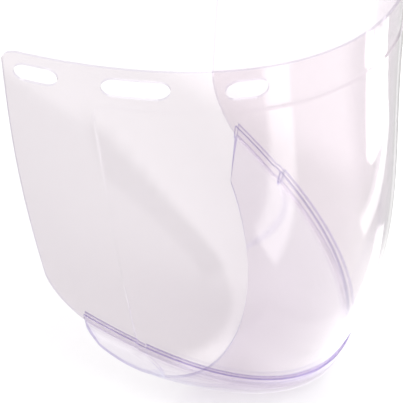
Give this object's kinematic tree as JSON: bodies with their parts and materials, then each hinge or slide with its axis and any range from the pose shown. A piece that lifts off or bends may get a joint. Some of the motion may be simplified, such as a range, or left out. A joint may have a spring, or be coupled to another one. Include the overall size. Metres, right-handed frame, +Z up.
{
  "type": "face shield window with chin guard",
  "caption": "Clear wrap-around face shield window with slotted headgear band, clear chin cup and edge rails gripping its bottom edge.",
  "frame": {"origin": "the centre of the headgear band: on the mirror plane, on the inner face of the window's top band at the height of the slots", "axes": "+Z up, -Y the way the wearer looks, so +X is on the wearer's left"},
  "size_m": [0.2528, 0.14, 0.2529],
  "materials": {
    "clear_sheet": "clear moulded polycarbonate, polished, faint lavender cast",
    "clear_guard": "clear moulded plastic, polished, lavender at the edges",
    "clear_rail": "clear extruded plastic that looks purple along its edges"
  },
  "bodies": {
    "root": {"window": "clear_sheet", "chin_guard": "clear_guard", "front_rail": "clear_rail", "left_rail": "clear_rail", "right_rail": "clear_rail"}
  },
  "joints": []
}
